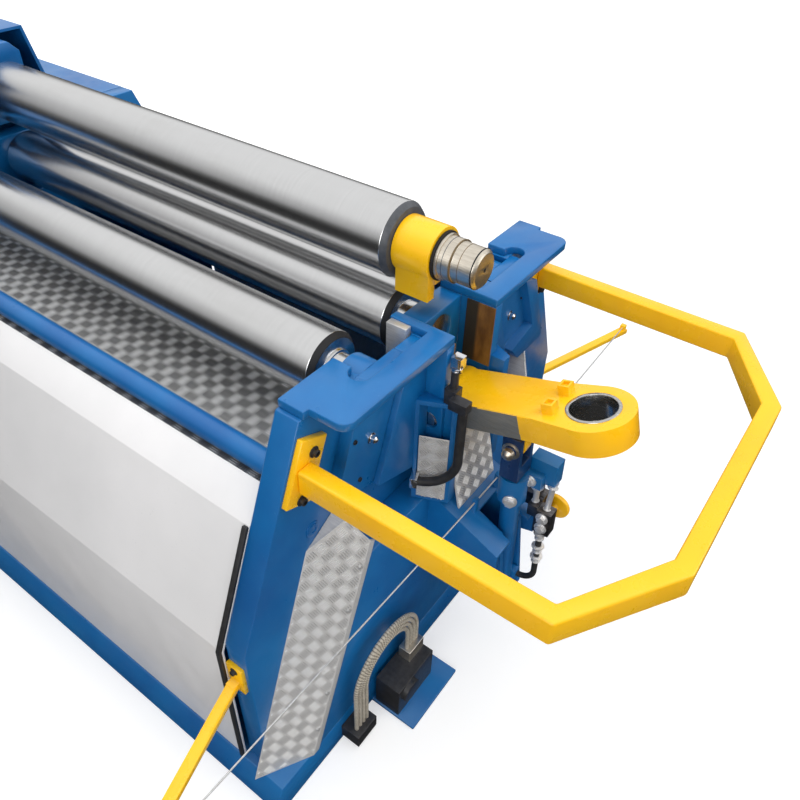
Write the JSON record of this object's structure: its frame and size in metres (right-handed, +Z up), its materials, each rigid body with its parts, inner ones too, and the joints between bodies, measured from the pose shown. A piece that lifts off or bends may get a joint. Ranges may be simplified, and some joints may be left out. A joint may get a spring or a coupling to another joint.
{
  "type": "plate rolling machine",
  "caption": "Four-roll hydraulic plate bending machine with a drop-end yoke that tilts down, inclined side rolls, closed side panels and a guard rail round the drop end.",
  "frame": {"origin": "on the floor under the middle of the drop-end plate's outer face", "axes": "+X along the rolls towards the drop end, +Y to the rear side, +Z up"},
  "size_m": [2.921, 2.2666, 1.411],
  "materials": {
    "blue_paint": "semi-gloss blue paint",
    "yellow_paint": "gloss yellow paint",
    "grey_paint": "satin light grey paint",
    "polished_steel": "ground and polished",
    "machined_steel": "machined",
    "tread_plate": "five-bar tread pattern",
    "bronze": "greased",
    "black_rubber": "matt",
    "beige_hose": "ribbed sleeve",
    "black_iron": "black paint",
    "valve_steel": "machined"
  },
  "bodies": {
    "base": {"base_frame": "blue_paint", "drop_end_plate": "blue_paint", "drop_end_caps": "blue_paint", "slide_liners": "machined_steel", "front_box": "blue_paint", "yoke_cheeks": "blue_paint", "yoke_wear_pads": "bronze", "slide_guide_plates": "blue_paint", "slide_cover_panels": "blue_paint", "drive_end_plate": "blue_paint", "drive_housing": "blue_paint", "front_panel": "grey_paint", "front_panel_seal": "black_rubber", "front_rail": "blue_paint", "front_deck": "tread_plate", "rear_panel": "grey_paint", "rear_rail": "blue_paint", "rear_deck": "tread_plate", "top_roll_collar": "yellow_paint", "yoke_hinge_pin": "machined_steel", "ram_foot_bracket": "blue_paint", "guard_rail": "yellow_paint", "guard_brackets": "yellow_paint", "trip_wire_posts": "yellow_paint", "trip_wire": "machined_steel", "tall_cover": "tread_plate", "hinge_housings": "blue_paint", "hinge_covers": "tread_plate", "hinge_hose": "black_rubber", "hose_fittings": "black_iron", "hydraulic_unit": "black_iron", "unit_hoses": "beige_hose"},
    "top_roll_body": {"top_roll": "polished_steel"},
    "bottom_slide": {"bottom_roll_blocks": "blue_paint"},
    "bottom_roll_body": {"bottom_roll": "polished_steel"},
    "front_slide": {"front_slide_blocks": "blue_paint"},
    "front_roll_body": {"front_side_roll": "polished_steel"},
    "rear_slide": {"rear_slide_blocks": "blue_paint"},
    "rear_roll_body": {"rear_side_roll": "polished_steel"},
    "yoke": {"yoke_arm": "yellow_paint", "yoke_bush": "machined_steel"},
    "ram": {"ram_barrel": "blue_paint", "ram_valve_block": "valve_steel", "ram_knob": "yellow_paint", "ram_hose": "black_rubber"},
    "ram_rod_body": {"ram_rod": "machined_steel"}
  },
  "joints": [
    {"name": "top_roll_spin", "type": "hinge", "parent": "base", "child": "top_roll_body", "pos_m": [-0.7, 0, 1.271], "axis": [1, 0, 0], "continuous": true},
    {"name": "bottom_roll_lift", "type": "slide", "parent": "base", "child": "bottom_slide", "axis": [0, 0, 1], "range_m": [-0.04, 0.028]},
    {"name": "bottom_roll_spin", "type": "hinge", "parent": "bottom_slide", "child": "bottom_roll_body", "pos_m": [-0.7, 0, 1.0735], "axis": [1, 0, 0], "continuous": true},
    {"name": "front_roll_adjust", "type": "slide", "parent": "base", "child": "front_slide", "axis": [0, 0.342, 0.9397], "range_m": [-0.03, 0.08]},
    {"name": "front_roll_spin", "type": "hinge", "parent": "front_slide", "child": "front_roll_body", "pos_m": [-0.7, -0.25, 1.081], "axis": [1, 0, 0], "continuous": true},
    {"name": "rear_roll_adjust", "type": "slide", "parent": "base", "child": "rear_slide", "axis": [0, -0.342, 0.9397], "range_m": [-0.03, 0.08]},
    {"name": "rear_roll_spin", "type": "hinge", "parent": "rear_slide", "child": "rear_roll_body", "pos_m": [-0.7, 0.25, 1.081], "axis": [1, 0, 0], "continuous": true},
    {"name": "yoke_tilt", "type": "hinge", "parent": "base", "child": "yoke", "pos_m": [0.058, 0, 0.921], "axis": [0, -1, 0], "range_deg": [0, 73]},
    {"name": "ram_swing", "type": "hinge", "parent": "base", "child": "ram", "pos_m": [0.256, 0, 0.33], "axis": [0, -1, 0], "range_deg": [0, 5.27]},
    {"name": "ram_stroke", "type": "slide", "parent": "ram", "child": "ram_rod_body", "axis": [-0.0393, 0, 0.9992], "range_m": [0, 0.2124]}
  ],
  "couplings": [
    {"joint": "ram_swing", "follows": "yoke_tilt", "ratio": 0.070791},
    {"joint": "ram_stroke", "follows": "yoke_tilt", "m_per_rad": 0.16595}
  ]
}
